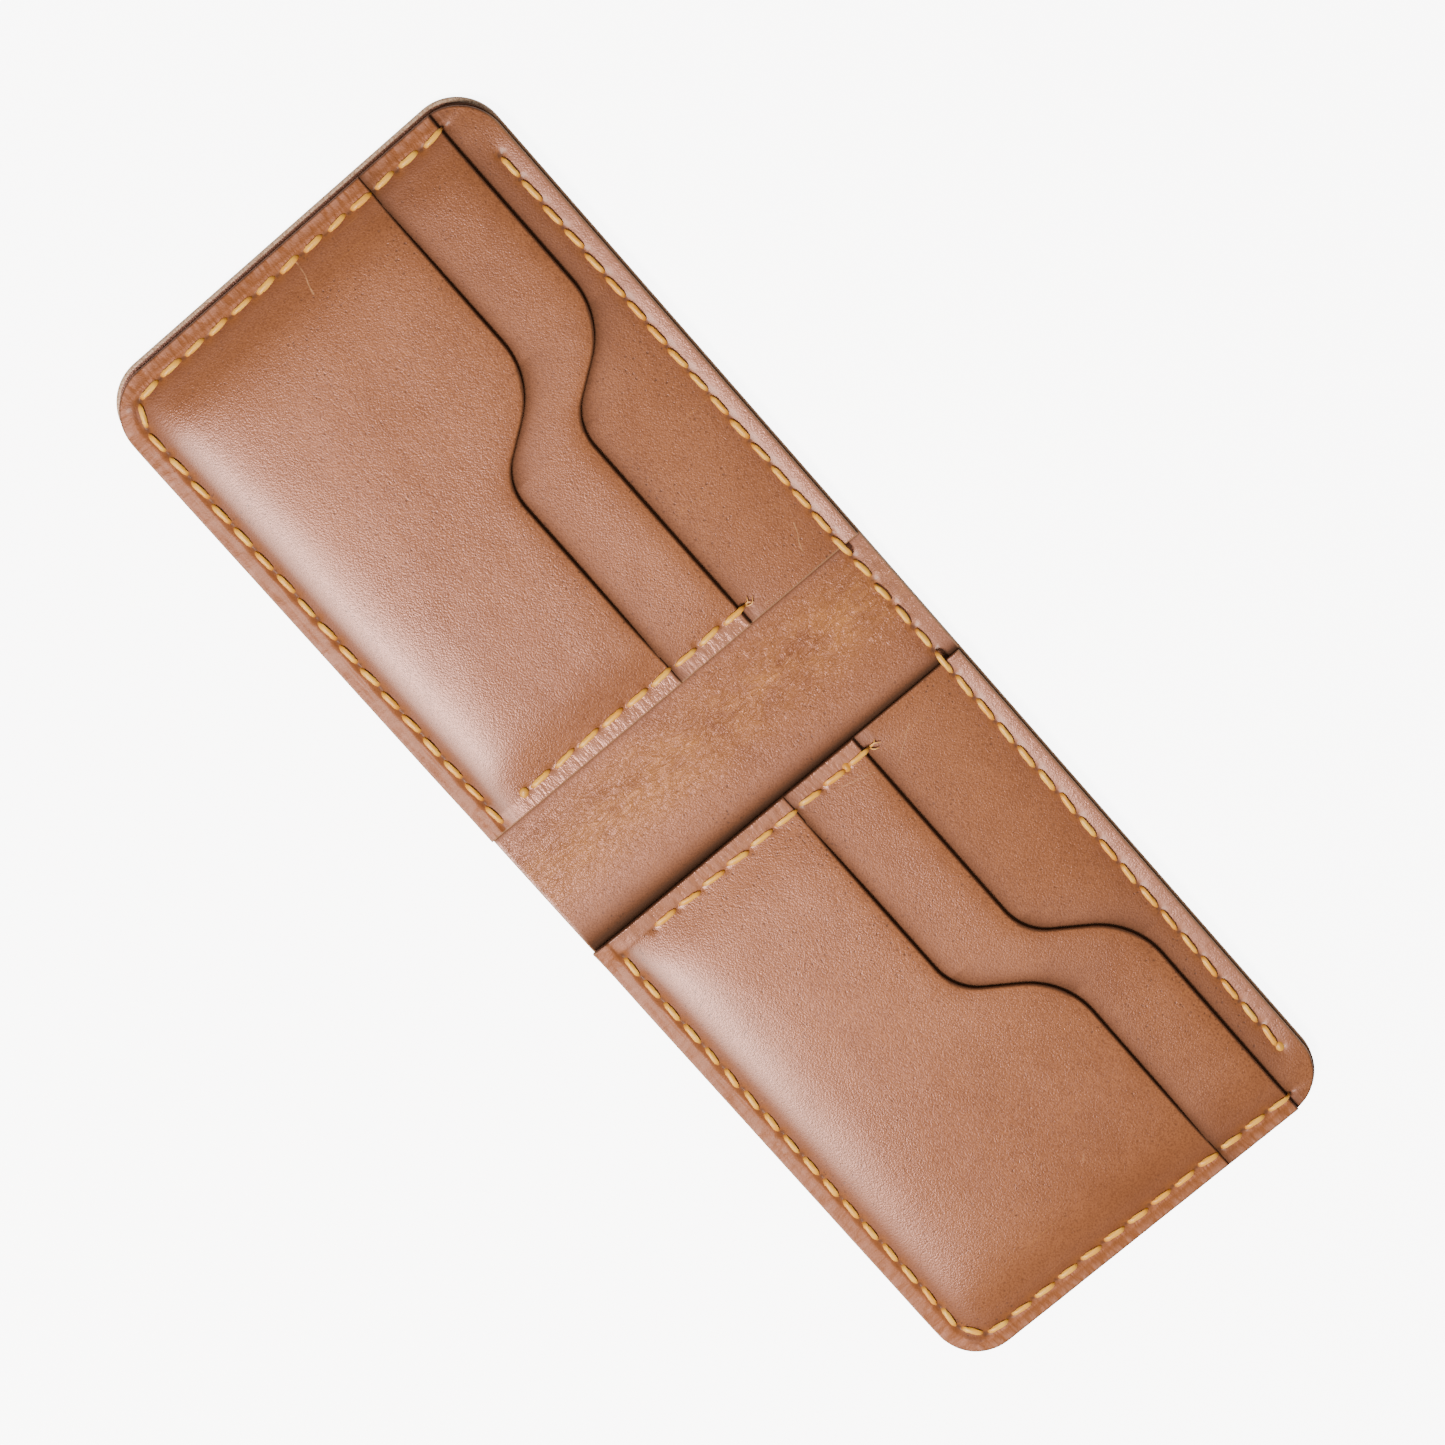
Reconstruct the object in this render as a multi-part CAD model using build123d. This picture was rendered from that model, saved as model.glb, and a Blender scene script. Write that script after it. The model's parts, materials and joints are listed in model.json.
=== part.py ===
from build123d import *
import math
import os

# Hand-stitched bifold wallet, lying open with its inside up.
# X runs along the open length with the right half at +X, the note compartment opens towards +Y,
# and Z = 0 is the outer face of the shell, on the surface that the wallet lies on.

# driving dimensions, in mm
panel_length = 96.5        # one half's panels, from the fold side to the outer end
wallet_width = 79.0        # from the bottom edge to the mouth of the note compartment
strip_length = 25.0        # bare lining between the two back panels
corner_radius = 8.5        # the shell's four outer corners
left_inset = 1.2           # the left half's inner layers stop this far inside the shell's end
top_inset = 0.3            # the back panels stop this far below the lining's top edge

shell_leather = 1.3        # thickness of the outer shell
inner_leather = 0.8        # thickness of every inner layer
ease = 0.2                 # free height inside each pocket

stitch_pitch = 5.08        # five stitches to the inch
thread_width = 0.9
thread_height = 0.5
thread_proud = 0.35        # a stitch stands this far above the leather
stitch_gap = 1.0           # between one stitch and the next
fold_stitch = 3.3          # shorter stitches, on the bending strip
end_ball = 0.7             # radius of a melted thread end

fold_pitch = stitch_pitch  # the spine bends at three lines, this far apart
fold_gap = 0.08            # half the gap between two spine strips
fold_half_angle = 30.0     # each line bends 60 degrees, half to each side

side_seam_inset = 3.2      # seam line to a panel's outer end
bottom_seam = 3.5          # height of the bottom seam above the bottom edge
top_seam = 75.5
inner_seam = 3.0           # distance of the inner seam from the fold side
seam_corner = 4.5
side_seam_top = 71.75
inner_seam_low = 10.7
inner_seam_high = 57.5
right_seam_start = 3.3     # where each bottom seam starts, from the fold side
left_seam_start = 0.75
right_top_end = 86.0       # where the top seam ends on the right half
left_top_end = 83.2

front_mouth = 41.3         # low part of the front pocket's mouth
upper_mouth = 56.1         # low part of the upper pocket's mouth
mouth_rise = 14.9          # from the low part of a mouth to the high part
mouth_start = 38.4         # where the S-curve leaves the low part
low_curve = 9.0            # radius of the curve at the foot of the S
high_curve = 14.0          # radius at its head
mouth_slope = 55.0         # steepest slope, degrees
pocket_floor = 18.3        # seam under the upper pocket's body
floor_margin = 2.8

side_margin = 4.3          # sewn margin at the outer end
bottom_margin = 5.0
fold_margin = 4.4          # sewn margin at the fold side
top_margin = 6.2
wall = inner_leather
nest = 0.1                 # clearance between one layer's step and the next

# heights of each layer's underside: sewn margin, and raised middle
lining_margin = shell_leather
lining_middle = shell_leather + ease
panel_margin = lining_margin + inner_leather
panel_top = lining_middle + inner_leather
panel_middle = panel_top + ease
pocket_margin = panel_margin + inner_leather
pocket_fold = panel_middle + inner_leather
upper_middle = pocket_fold + ease
front_middle = upper_middle + inner_leather + ease

half_strip = strip_length / 2
half_width = wallet_width / 2
above_all = 12.0


def slab(x0, x1, y0, y1, z0, z1):
    """A box between two corners."""
    return Pos(x0, y0, z0) * Box(x1 - x0, y1 - y0, z1 - z0, align=(Align.MIN, Align.MIN, Align.MIN))


def outline(reach, top, fold_side=0.0):
    """Prism of a half's outline: square at the fold side, rounded at the outer end."""
    plate = slab(fold_side, reach, 0, top, 0, above_all)
    ends = plate.edges().filter_by(Axis.Z).group_by(Axis.X)[-1]
    return fillet(ends, corner_radius)


def middle(reach, step, low, radius, fold_side):
    """Prism of a layer's raised middle, rounded where the seam turns the corner."""
    block = slab(fold_side, reach - step, low, 2 * wallet_width, 0, above_all)
    corner = block.edges().filter_by(Axis.Z).sort_by(Axis.Y)[:2].sort_by(Axis.X)[-1]
    return fillet(corner, radius)


def below_mouth(reach, low):
    """Prism of everything below a pocket's S-curved mouth."""
    slope = math.radians(mouth_slope)
    high = low + mouth_rise
    bend = 1 - math.cos(slope)
    straight = (mouth_rise - (low_curve + high_curve) * bend) / math.sin(slope)
    foot = (mouth_start + low_curve * math.sin(slope), low + low_curve * bend)
    head = (foot[0] + straight * math.cos(slope), foot[1] + straight * math.sin(slope))
    crest = (head[0] + high_curve * math.sin(slope), high)
    edges = [
        Line((-1, low), (mouth_start, low)),
        TangentArc((mouth_start, low), foot, tangent=(1, 0)),
        Line(foot, head),
        TangentArc(head, crest, tangent=(math.cos(slope), math.sin(slope))),
        Line(crest, (reach + 1, high)),
        Line((reach + 1, high), (reach + 1, -1)),
        Line((reach + 1, -1), (-1, -1)),
        Line((-1, -1), (-1, low)),
    ]
    return extrude(make_face(edges), above_all)


def between(shape, z0, z1):
    """The part of a prism between two heights."""
    return shape & slab(-50, 200, -50, 300, z0, z1)


def fold_wedges():
    """The room above each bending line that the layers over the shell close into."""
    rise = above_all - shell_leather
    spread = fold_gap + rise * math.tan(math.radians(fold_half_angle))
    wedges = []
    for line in (-fold_pitch, 0, fold_pitch):
        section = Polyline(
            (line - fold_gap, shell_leather), (line - spread, above_all),
            (line + spread, above_all), (line + fold_gap, shell_leather), close=True)
        face = Plane.XZ * make_face(section.edges())
        wedges.append(extrude(face, wallet_width, both=True))
    return wedges


def shell_half():
    """Outer shell of one half, out to its rounded end."""
    start = fold_pitch + fold_gap - half_strip
    return between(outline(panel_length, wallet_width, start), 0, shell_leather)


def lining_half(reach):
    """Lining of one half: sewn down at the end and bottom, free at the top edge."""
    start = fold_pitch + fold_gap - half_strip
    body = outline(reach, wallet_width, start)
    raised = middle(reach, side_margin + wall + 4 * nest, bottom_margin + wall + 4 * nest, 2.2, -20)
    raised += slab(-20, -2, -1, bottom_margin + 10, 0, above_all)
    low = between(body - raised, lining_margin, lining_margin + inner_leather)
    high = between(body & raised, lining_middle, lining_middle + inner_leather)
    return low + high


def back_panel(reach):
    """Back panel: sewn at the end, bottom and top, open to the fold as a slip pocket."""
    body = outline(reach, wallet_width - top_inset)
    raised = middle(reach, side_margin + wall + nest, bottom_margin + wall + nest, 2.5, -1)
    top = slab(-1, reach - side_margin - wall - nest, wallet_width - top_margin, wallet_width, 0, above_all)
    low = between(body - raised, panel_margin, panel_margin + inner_leather)
    edge = between(body & raised & top, panel_top, panel_top + inner_leather)
    high = between((body & raised) - top, panel_middle, panel_middle + inner_leather)
    return low + edge + high


def upper_pocket(reach):
    """Upper card pocket: a T whose arms are caught in the seams and whose body hangs between."""
    arm_end = reach - side_margin - wall
    arm_low = front_mouth + mouth_rise + nest
    outer_arm = slab(arm_end + wall, reach, arm_low, wallet_width, pocket_margin, pocket_margin + inner_leather)
    outer_wall = slab(arm_end, arm_end + wall, arm_low, wallet_width, pocket_margin, upper_middle + inner_leather)
    fold_arm = slab(0, fold_margin, front_mouth + nest, wallet_width, pocket_fold, pocket_fold + inner_leather)
    # the body is narrower below the arms, and steps down to its own seam at the floor
    floor_top = pocket_floor + floor_margin
    floor = pocket_floor - floor_margin
    body_start = fold_margin + wall + 2 * nest
    body_end = arm_end - 2 * nest
    body = slab(body_start, body_end, floor_top, wallet_width, upper_middle, upper_middle + inner_leather)
    hem = slab(body_start, body_end, floor, floor_top, pocket_fold, pocket_fold + inner_leather)
    left_bridge = slab(fold_margin, body_start, front_mouth + nest, wallet_width,
                       upper_middle, upper_middle + inner_leather)
    right_bridge = slab(body_end, arm_end, arm_low, wallet_width, upper_middle, upper_middle + inner_leather)
    whole = outer_arm + outer_wall + fold_arm + body + hem + left_bridge + right_bridge
    return whole & outline(reach, wallet_width) & below_mouth(reach, upper_mouth)


def front_pocket(reach):
    """Front card pocket: a shallow tray, sewn on three sides and open at its mouth."""
    inside = outline(reach, wallet_width) & below_mouth(reach, front_mouth)
    raised = middle(reach, side_margin, bottom_margin, 3.4, fold_margin)
    hollow = middle(reach, side_margin + wall, bottom_margin + wall, 2.6, fold_margin + wall)
    lid = between(inside & raised, pocket_margin, front_middle + inner_leather)
    lid -= between(hollow, 0, front_middle)
    # the fold-side wall stands on the back panel's raised middle
    lid -= slab(-1, fold_margin + wall + 1, bottom_margin + wall, wallet_width, 0, pocket_fold)
    rim = inside - raised
    fold_rim = slab(-1, fold_margin, bottom_margin + wall, wallet_width, 0, above_all)
    step = slab(-1, fold_margin, bottom_margin, bottom_margin + wall, 0, above_all)
    low_rim = between(rim - fold_rim - step, pocket_margin, pocket_margin + inner_leather)
    high_rim = between(rim & fold_rim, pocket_fold, pocket_fold + inner_leather)
    step_rim = between(rim & step, pocket_margin, pocket_fold + inner_leather)
    return lid + low_rim + high_rim + step_rim


def stitch(length, low, high):
    """One stitch cell: a front bar and a back bar, joined through the holes at its ends."""
    height = high - low
    outside = Box(length, thread_width, height)
    window = Box(length - 2 * thread_width, 2 * thread_width, height - 2 * thread_height)
    return Pos(0, 0, (low + high) / 2) * (outside - window)


def seam(path, low, high, count=None, length=None):
    """Stitches along a path, each turned to the chord between its two holes."""
    count = count or round(path.length / stitch_pitch)
    pieces = []
    for index in range(count):
        start = path.position_at(index / count)
        end = path.position_at((index + 1) / count)
        centre = (start + end) / 2
        turn = math.degrees(math.atan2(end.Y - start.Y, end.X - start.X))
        size = length or (end - start).length - stitch_gap
        pieces.append(Pos(centre.X, centre.Y, 0) * Rot(0, 0, turn) * stitch(size, low, high))
    return pieces


def outer_seam(reach, start):
    """Down the outer end, round the corner and along the bottom, through every layer."""
    side = reach - side_seam_inset
    corner = side - seam_corner
    path = Wire([
        Edge.make_line((side, side_seam_top), (side, bottom_seam + seam_corner)),
        Edge.make_tangent_arc((side, bottom_seam + seam_corner), (0, -1), (corner, bottom_seam)),
        Edge.make_line((corner, bottom_seam), (start, bottom_seam)),
    ])
    back = 0.05
    return seam(path, back, pocket_margin + inner_leather + thread_proud)


def inner_seam_stitches(balls):
    """Up the fold side, through the pockets and the back panel."""
    path = Wire([Edge.make_line((inner_seam, inner_seam_low), (inner_seam, inner_seam_high))])
    top = pocket_fold + inner_leather
    pieces = seam(path, panel_middle, top + thread_proud)
    return pieces + [Pos(inner_seam, height, top) * Sphere(end_ball) for height in balls]


def floor_seam(reach):
    """Across the floor of the upper pocket, under the front pocket."""
    start = fold_margin + wall + 2.5
    end = reach - side_margin - wall - 2.5
    path = Wire([Edge.make_line((start, pocket_floor), (end, pocket_floor))])
    return seam(path, panel_middle, pocket_fold + inner_leather + thread_proud)


def panel_top_seam(end, ball):
    """The top seam over a back panel and the lining, from the panel's edge outwards."""
    first = 3 * stitch_pitch - half_strip
    count = round((end - first) / stitch_pitch)
    path = Wire([Edge.make_line((first, top_seam), (end, top_seam))])
    surface = panel_top + inner_leather
    pieces = seam(path, lining_middle, surface + thread_proud, count)
    # one stitch climbs from the lining onto the panel's edge
    climb = Wire([Edge.make_line((first - stitch_pitch, top_seam), (first, top_seam))])
    pieces += seam(climb, lining_middle, surface + thread_proud, 1)
    # and one lies on the lining alone, next to the fold
    strip = Wire([Edge.make_line((first - 2 * stitch_pitch, top_seam), (first - stitch_pitch, top_seam))])
    pieces += seam(strip, lining_middle, panel_top + thread_proud, 1, fold_stitch)
    if ball:
        pieces.append(Pos(end, top_seam, surface) * Sphere(end_ball))
    return pieces


def place(shape, side):
    """Move a piece from its half's own corner into the wallet, mirrored for the left half."""
    moved = Pos(half_strip, -half_width, 0) * shape
    return moved if side == "right" else mirror(moved, about=Plane.YZ)


def place_all(pieces, side):
    """The same for a group of loose solids, kept together as one node."""
    return Compound([solid for piece in pieces for solid in place(piece, side).solids()])


def spine_strip(side, low, high):
    """One of the two narrow strips between the bending lines."""
    start, end = (fold_gap, fold_pitch - fold_gap)
    strip = slab(start, end, -half_width, half_width, low, high)
    return strip if side == "right" else mirror(strip, about=Plane.YZ)


def spine_stitch(side):
    """The one stitch of the top seam on a spine strip."""
    centre = fold_pitch / 2 if side == "right" else -fold_pitch / 2
    piece = stitch(fold_stitch, lining_middle, panel_top + thread_proud)
    return Pos(centre, top_seam - half_width, 0) * piece


def build_half(side):
    """Every node of one half, by name."""
    right = side == "right"
    reach = panel_length if right else panel_length - left_inset
    lining = place(lining_half(reach), side)
    strip = spine_strip(side, lining_middle, panel_top)
    for wedge in fold_wedges():
        lining -= wedge
        strip -= wedge
    seam_start = right_seam_start if right else left_seam_start
    balls = [inner_seam_high - stitch_pitch] if right else [inner_seam_low - 1.0]
    top_end = right_top_end if right else left_top_end
    return {
        f"shell_{side}": place(shell_half(), side),
        f"shell_spine_{side}": spine_strip(side, 0, shell_leather),
        f"lining_{side}": lining,
        f"lining_spine_{side}": strip,
        f"back_panel_{side}": place(back_panel(reach), side),
        f"upper_pocket_{side}": place(upper_pocket(reach), side),
        f"front_pocket_{side}": place(front_pocket(reach), side),
        f"outer_seam_{side}": place_all(outer_seam(reach, seam_start), side),
        f"inner_seam_{side}": place_all(inner_seam_stitches(balls), side),
        f"pocket_floor_seam_{side}": place_all(floor_seam(reach), side),
        f"top_seam_{side}": place_all(panel_top_seam(top_end, right), side),
        f"top_seam_spine_{side}": spine_stitch(side),
    }


os.makedirs("parts", exist_ok=True)
for side in ("right", "left"):
    for name, shape in build_half(side).items():
        export_step(shape, f"parts/{name}.step")
        print(name, round(shape.volume, 1))
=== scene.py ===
import json
import math
import bpy
import numpy as np
from mathutils import Matrix, Vector


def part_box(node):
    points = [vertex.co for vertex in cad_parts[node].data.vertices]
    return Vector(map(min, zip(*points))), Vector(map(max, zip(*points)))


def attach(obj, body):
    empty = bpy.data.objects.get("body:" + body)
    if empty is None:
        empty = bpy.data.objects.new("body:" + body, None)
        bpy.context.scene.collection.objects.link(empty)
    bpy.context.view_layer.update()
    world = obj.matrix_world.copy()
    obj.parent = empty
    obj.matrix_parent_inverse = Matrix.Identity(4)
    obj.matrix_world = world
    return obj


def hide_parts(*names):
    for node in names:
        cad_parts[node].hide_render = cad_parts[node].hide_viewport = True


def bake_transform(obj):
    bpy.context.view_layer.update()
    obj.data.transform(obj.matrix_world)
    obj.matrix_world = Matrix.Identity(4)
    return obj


# A hand-stitched bifold wallet, open on a pale table. Lengths in this script are millimetres until
# a mesh is made; u runs from a half's fold side to its outer end, v from the bottom edge upwards.

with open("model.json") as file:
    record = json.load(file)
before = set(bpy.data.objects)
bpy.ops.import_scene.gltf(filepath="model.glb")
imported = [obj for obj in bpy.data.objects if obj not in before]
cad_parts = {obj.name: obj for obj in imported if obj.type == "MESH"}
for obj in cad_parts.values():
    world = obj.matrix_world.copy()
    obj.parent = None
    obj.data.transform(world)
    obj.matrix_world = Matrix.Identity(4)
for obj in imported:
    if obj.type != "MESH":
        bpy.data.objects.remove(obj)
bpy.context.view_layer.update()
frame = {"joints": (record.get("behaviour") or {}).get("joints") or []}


def boxOf(node):
    low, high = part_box(node)
    return np.array(low) * 1000, np.array(high) * 1000


shellHigh = boxOf("shell_right")[1]
liningLow, liningHigh = boxOf("lining_right")
panelLow, panelHigh = boxOf("back_panel_right")
upperHigh = boxOf("upper_pocket_right")[1]
frontHigh = boxOf("front_pocket_right")[1]

halfWidth = shellHigh[1]
fullWidth = 2 * halfWidth
foldSide = panelLow[0]  # where each back panel starts, from the wallet's middle
foldLines = [joint["pos_m"][0] * 1000 for joint in frame["joints"]]
foldPitch = foldLines[0]
sewnPress = 0.2  # the inner layers are this much lower along a seam
leather = liningHigh[2] - liningLow[2] - sewnPress
cornerRadius = 8.5

pitch = 5.08  # from hole to hole, on the outer and top seams
innerPitch, innerCount = 5.2, 9
seamCorner = 4.5  # radius of the outer seam's corner
threadHalf, threadInset = 0.45, 0.5  # the frame's thread: half its width, and its gap from a hole


def reachOf(node):
    # the nearest and the farthest distance of a node from the wallet's middle
    low, high = boxOf(node)
    return min(abs(low[0]), abs(high[0])), max(abs(low[0]), abs(high[0]))


def halfOf(side):
    # what the frame says about one half, as distances u and v
    seamLow, seamHigh = boxOf(f"outer_seam_{side}")
    seamNear, seamFar = reachOf(f"outer_seam_{side}")
    innerHigh = boxOf(f"inner_seam_{side}")[1]
    topLow, topHigh = boxOf(f"top_seam_{side}")
    floorLow, floorHigh = boxOf(f"pocket_floor_seam_{side}")
    floorNear, floorFar = reachOf(f"pocket_floor_seam_{side}")
    knotInset = -0.7 if side == "right" else threadInset
    return {
        "side": side,
        "out": 1 if side == "right" else -1,
        "reach": reachOf(f"back_panel_{side}")[1] - foldSide,
        "sideSeam": seamFar - threadHalf - foldSide,
        "bottomSeam": seamLow[1] + threadHalf + halfWidth,
        "bottomStart": seamNear - threadInset - foldSide,
        "sideTop": seamHigh[1] + threadInset + halfWidth,
        "innerSeam": sum(reachOf(f"inner_seam_{side}")) / 2 - foldSide,
        "innerHigh": innerHigh[1] + threadInset + halfWidth,
        "topSeam": (topLow[1] + topHigh[1]) / 2 + halfWidth,
        "topEnd": reachOf(f"top_seam_{side}")[1] - foldSide + knotInset,
        "floorSeam": (floorLow[1] + floorHigh[1]) / 2 + halfWidth,
        "floorStart": floorNear - foldSide - threadInset,
        "floorEnd": floorFar - foldSide + threadInset,
    }


halves = [halfOf("right"), halfOf("left")]


def fade(distance, length):
    # 1 - exp(-(d / length)^1.6): nothing at a seam, one well inside it
    return 1 - np.exp(-(np.maximum(distance, 0) / length) ** 1.6)


def bump(distance, width):
    return np.exp(-(distance / width) ** 2)


def ripple(x, y, size, seed, octaves=3, waves=5):
    # sum of plane waves in random directions, each octave half as large: a smooth uneven field
    draw = np.random.default_rng(seed)
    total = np.zeros_like(x)
    for octave in range(octaves):
        for wave in range(waves):
            angle, phase = draw.uniform(0, 2 * math.pi, 2)
            spread = draw.uniform(0.7, 1.4) * 2 ** octave / size
            along = x * math.cos(angle) + y * math.sin(angle)
            total += np.sin(2 * math.pi * spread * along + phase) / 2 ** octave
    return total / waves


def spaced(start, stop, count, marks=(), strength=4.0, width=3.0):
    # positions whose density is 1 + strength * a bell round each mark
    fine = np.linspace(start, stop, 4000)
    density = np.ones_like(fine)
    for mark in marks:
        density += strength * bump(fine - mark, width)
    total = np.concatenate([[0], np.cumsum((density[1:] + density[:-1]) / 2)])
    return np.interp(np.linspace(0, total[-1], count), total, fine)


def withEdges(positions, radius, first=True, last=True):
    # adds rows close to a cut edge, at radius * (1 - cos a), so that the edge can be rounded
    start, stop = positions[0], positions[-1]
    steps = radius * (1 - np.cos(np.linspace(0, math.pi / 2, 6)))
    clear = radius * 1.3
    inner = positions[(positions > start + (clear if first else -1))
                      & (positions < stop - (clear if last else -1))]
    parts = [start + steps] if first else []
    parts.append(inner)
    if last:
        parts.append((stop - steps)[::-1])
    return np.concatenate(parts)


mouth = {
    "rise": 14.9,  # from the low stretch to the high one
    "start": 38.4,  # where the low stretch ends
    "lowRadius": 9.0,
    "highRadius": 14.0,
    "slope": math.radians(55),
    "steepFrom": 3,  # the steep stretch, from start
    "steepTo": 18,
    "rollDepth": 0.15,  # how far the burnished lip falls away, and over what width
    "rollWidth": 1.1,
}


def mouthLine(u, low):
    # straight, arc, straight slope, arc, straight: the S of a pocket's mouth
    m = mouth
    bend = 1 - math.cos(m["slope"])
    straight = (m["rise"] - (m["lowRadius"] + m["highRadius"]) * bend) / math.sin(m["slope"])
    footU = m["start"] + m["lowRadius"] * math.sin(m["slope"])
    footV = low + m["lowRadius"] * bend
    headU = footU + straight * math.cos(m["slope"])
    crestU = headU + m["highRadius"] * math.sin(m["slope"])
    lowArc = low + m["lowRadius"] - np.sqrt(np.maximum(m["lowRadius"] ** 2 - (u - m["start"]) ** 2, 0))
    highArc = low + m["rise"] - m["highRadius"]
    highArc = highArc + np.sqrt(np.maximum(m["highRadius"] ** 2 - (crestU - u) ** 2, 0))
    line = footV + (u - footU) * math.tan(m["slope"])
    high = np.full_like(u, low + m["rise"])
    return np.select([u < m["start"], u < footU, u < headU, u < crestU],
                     [np.full_like(u, low), lowArc, line, highArc], high)


frontMouth = frontHigh[1] + halfWidth - mouth["rise"]
upperMouth = upperHigh[1] + halfWidth - mouth["rise"]
panelEdge = panelHigh[1] + halfWidth


def fromMouth(u, v, low):
    # signed distance above a pocket's mouth, measured square to it on the steep stretch
    steep = (u > mouth["start"] + mouth["steepFrom"]) & (u < mouth["start"] + mouth["steepTo"])
    return (v - mouthLine(u, low)) * np.where(steep, math.cos(mouth["slope"]), 1.0)


def mouthRoll(u, v, low):
    # the lip falls away by depth * exp(-d / width), d inside the mouth
    return mouth["rollDepth"] * np.exp(-np.maximum(-fromMouth(u, v, low), 0) / mouth["rollWidth"])


def cornerCut(u, reach, radius=cornerRadius):
    # how far a rounded corner has come in at u: r - sqrt(r^2 - (u - (reach - r))^2)
    over = np.clip(u - (reach - radius), 0, radius)
    return radius - np.sqrt(np.maximum(radius ** 2 - over ** 2, 0))


def outlineOf(reach, top):
    # the low and the high outline of a plate with two rounded outer corners
    return lambda u: cornerCut(u, reach), lambda u: top - cornerCut(u, reach)


def cornerDistance(x, y, radius):
    # distance from two edges that meet in a round corner: r - |(r - x, r - y)| inside the corner's square
    inCorner = (x < radius) & (y < radius)
    return np.where(inCorner, radius - np.hypot(radius - x, radius - y), np.minimum(x, y))


def endDistance(u, v, reach, top, radius=cornerRadius):
    # distance inside a plate with two rounded outer corners, ignoring its fold side
    return cornerDistance(reach - u, np.minimum(v, top - v), radius)


def seamDistance(u, v, half):
    # distance inside the outer seam: the outer end and the bottom, with a round corner between
    return cornerDistance(half["sideSeam"] - u, v - half["bottomSeam"], seamCorner)


def segmentGap(u, v, start, end):
    # distance from the straight line between two holes
    step = end - start
    share = np.clip(((u - start[0]) * step[0] + (v - start[1]) * step[1]) / (step @ step), 0, 1)
    return np.hypot(u - start[0] - share * step[0], v - start[1] - share * step[1])


def meshOf(name, points, faces, values=None):
    mesh = bpy.data.meshes.new(name)
    mesh.vertices.add(len(points))
    mesh.vertices.foreach_set("co", (points * 0.001).astype(np.float32).ravel())
    mesh.loops.add(faces.size)
    mesh.loops.foreach_set("vertex_index", faces.astype(np.int32).ravel())
    mesh.polygons.add(len(faces))
    mesh.polygons.foreach_set("loop_start", np.arange(0, faces.size, faces.shape[1], dtype=np.int32))
    mesh.polygons.foreach_set("use_smooth", np.ones(len(faces), bool))
    mesh.update(calc_edges=True)
    for key, value in (values or {}).items():
        attribute = mesh.attributes.new(key, "FLOAT", "POINT")
        attribute.data.foreach_set("value", np.asarray(value, np.float32).ravel())
    mesh.validate()
    mesh.set_sharp_from_angle(angle=math.radians(40))
    piece = bpy.data.objects.new(name, mesh)
    bpy.context.scene.collection.objects.link(piece)
    return piece


def gridFaces(n, m, offset=0, closedN=False, closedM=False):
    # quads of an n by m grid of points, wrapped round where it is closed
    i = np.arange(n if closedN else n - 1)
    j = np.arange(m if closedM else m - 1)
    i, j = np.meshgrid(i, j, indexing="ij")
    i2, j2 = (i + 1) % n, (j + 1) % m
    quads = np.stack([i * m + j, i2 * m + j, i2 * m + j2, i * m + j2], -1)
    return quads.reshape(-1, 4) + offset


cutWidth = 0.55  # how far in from a cut edge its colour reaches


def leaf(name, half, u, t, outline, topOf, edgeOf, thick, rounding, values, underOf=None):
    # closed sheet: v = low(u) + t (high(u) - low(u)); top z = topOf(u, v) - drop,
    # underside z = top - thickness + drop, where drop = r - sqrt(r^2 - (r - e)^2) at e from a cut edge
    n, m = len(u), len(t)
    gridU = np.repeat(u[:, None], m, 1)
    lowV, highV = outline[0](u), outline[1](u)
    gridV = lowV[:, None] + (highV - lowV)[:, None] * t[None, :]
    edge = np.maximum(edgeOf(gridU, gridV), 0)
    drop = rounding - np.sqrt(np.maximum(rounding ** 2 - (rounding - np.minimum(edge, rounding)) ** 2, 0))
    surface = topOf(gridU, gridV)
    under = surface - thick if underOf is None else underOf(gridU, gridV)
    x = half["out"] * (foldSide + gridU)
    y = gridV - halfWidth
    top = np.stack([x, y, surface - drop], -1).reshape(-1, 3)
    bottom = np.stack([x, y, under + drop], -1).reshape(-1, 3)
    size = n * m
    faces = gridFaces(n, m)
    index = np.arange(size).reshape(n, m)
    loop = np.concatenate([index[:, 0], index[-1, 1:], index[-2::-1, -1], index[0, -2::-1]])
    wall = np.stack([loop[:-1] + size, loop[1:] + size, loop[1:], loop[:-1]], -1)
    faces = np.concatenate([faces, faces[:, ::-1] + size, wall])
    if half["out"] < 0:
        faces = faces[:, ::-1]
    given = values(gridU, gridV)
    given["edge"] = bump(edge, cutWidth)
    attributes = {key: np.concatenate([value.ravel(), value.ravel()]) for key, value in given.items()}
    return meshOf(name, np.concatenate([top, bottom]), faces, attributes)


def outerPath(half):
    # (u, v) of each hole: down the end, round the corner, along the bottom
    side, low = half["sideSeam"], half["bottomSeam"]
    down = half["sideTop"] - low - seamCorner
    arc = seamCorner * math.pi / 2
    along = side - seamCorner - half["bottomStart"]
    total = down + arc + along
    s = np.linspace(0, total, round(total / pitch) + 1)
    turn = np.clip((s - down) / seamCorner, 0, math.pi / 2)
    past = np.maximum(s - down - arc, 0)
    u = side - seamCorner + seamCorner * np.cos(turn) - past
    v = np.where(s < down, half["sideTop"] - s, low + seamCorner - seamCorner * np.sin(turn))
    return np.stack([u, v], -1)


def innerPath(half):
    low = half["innerHigh"] - innerCount * innerPitch
    v = np.linspace(low, half["innerHigh"], innerCount + 1)
    return np.stack([np.full(innerCount + 1, half["innerSeam"]), v], -1)


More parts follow.
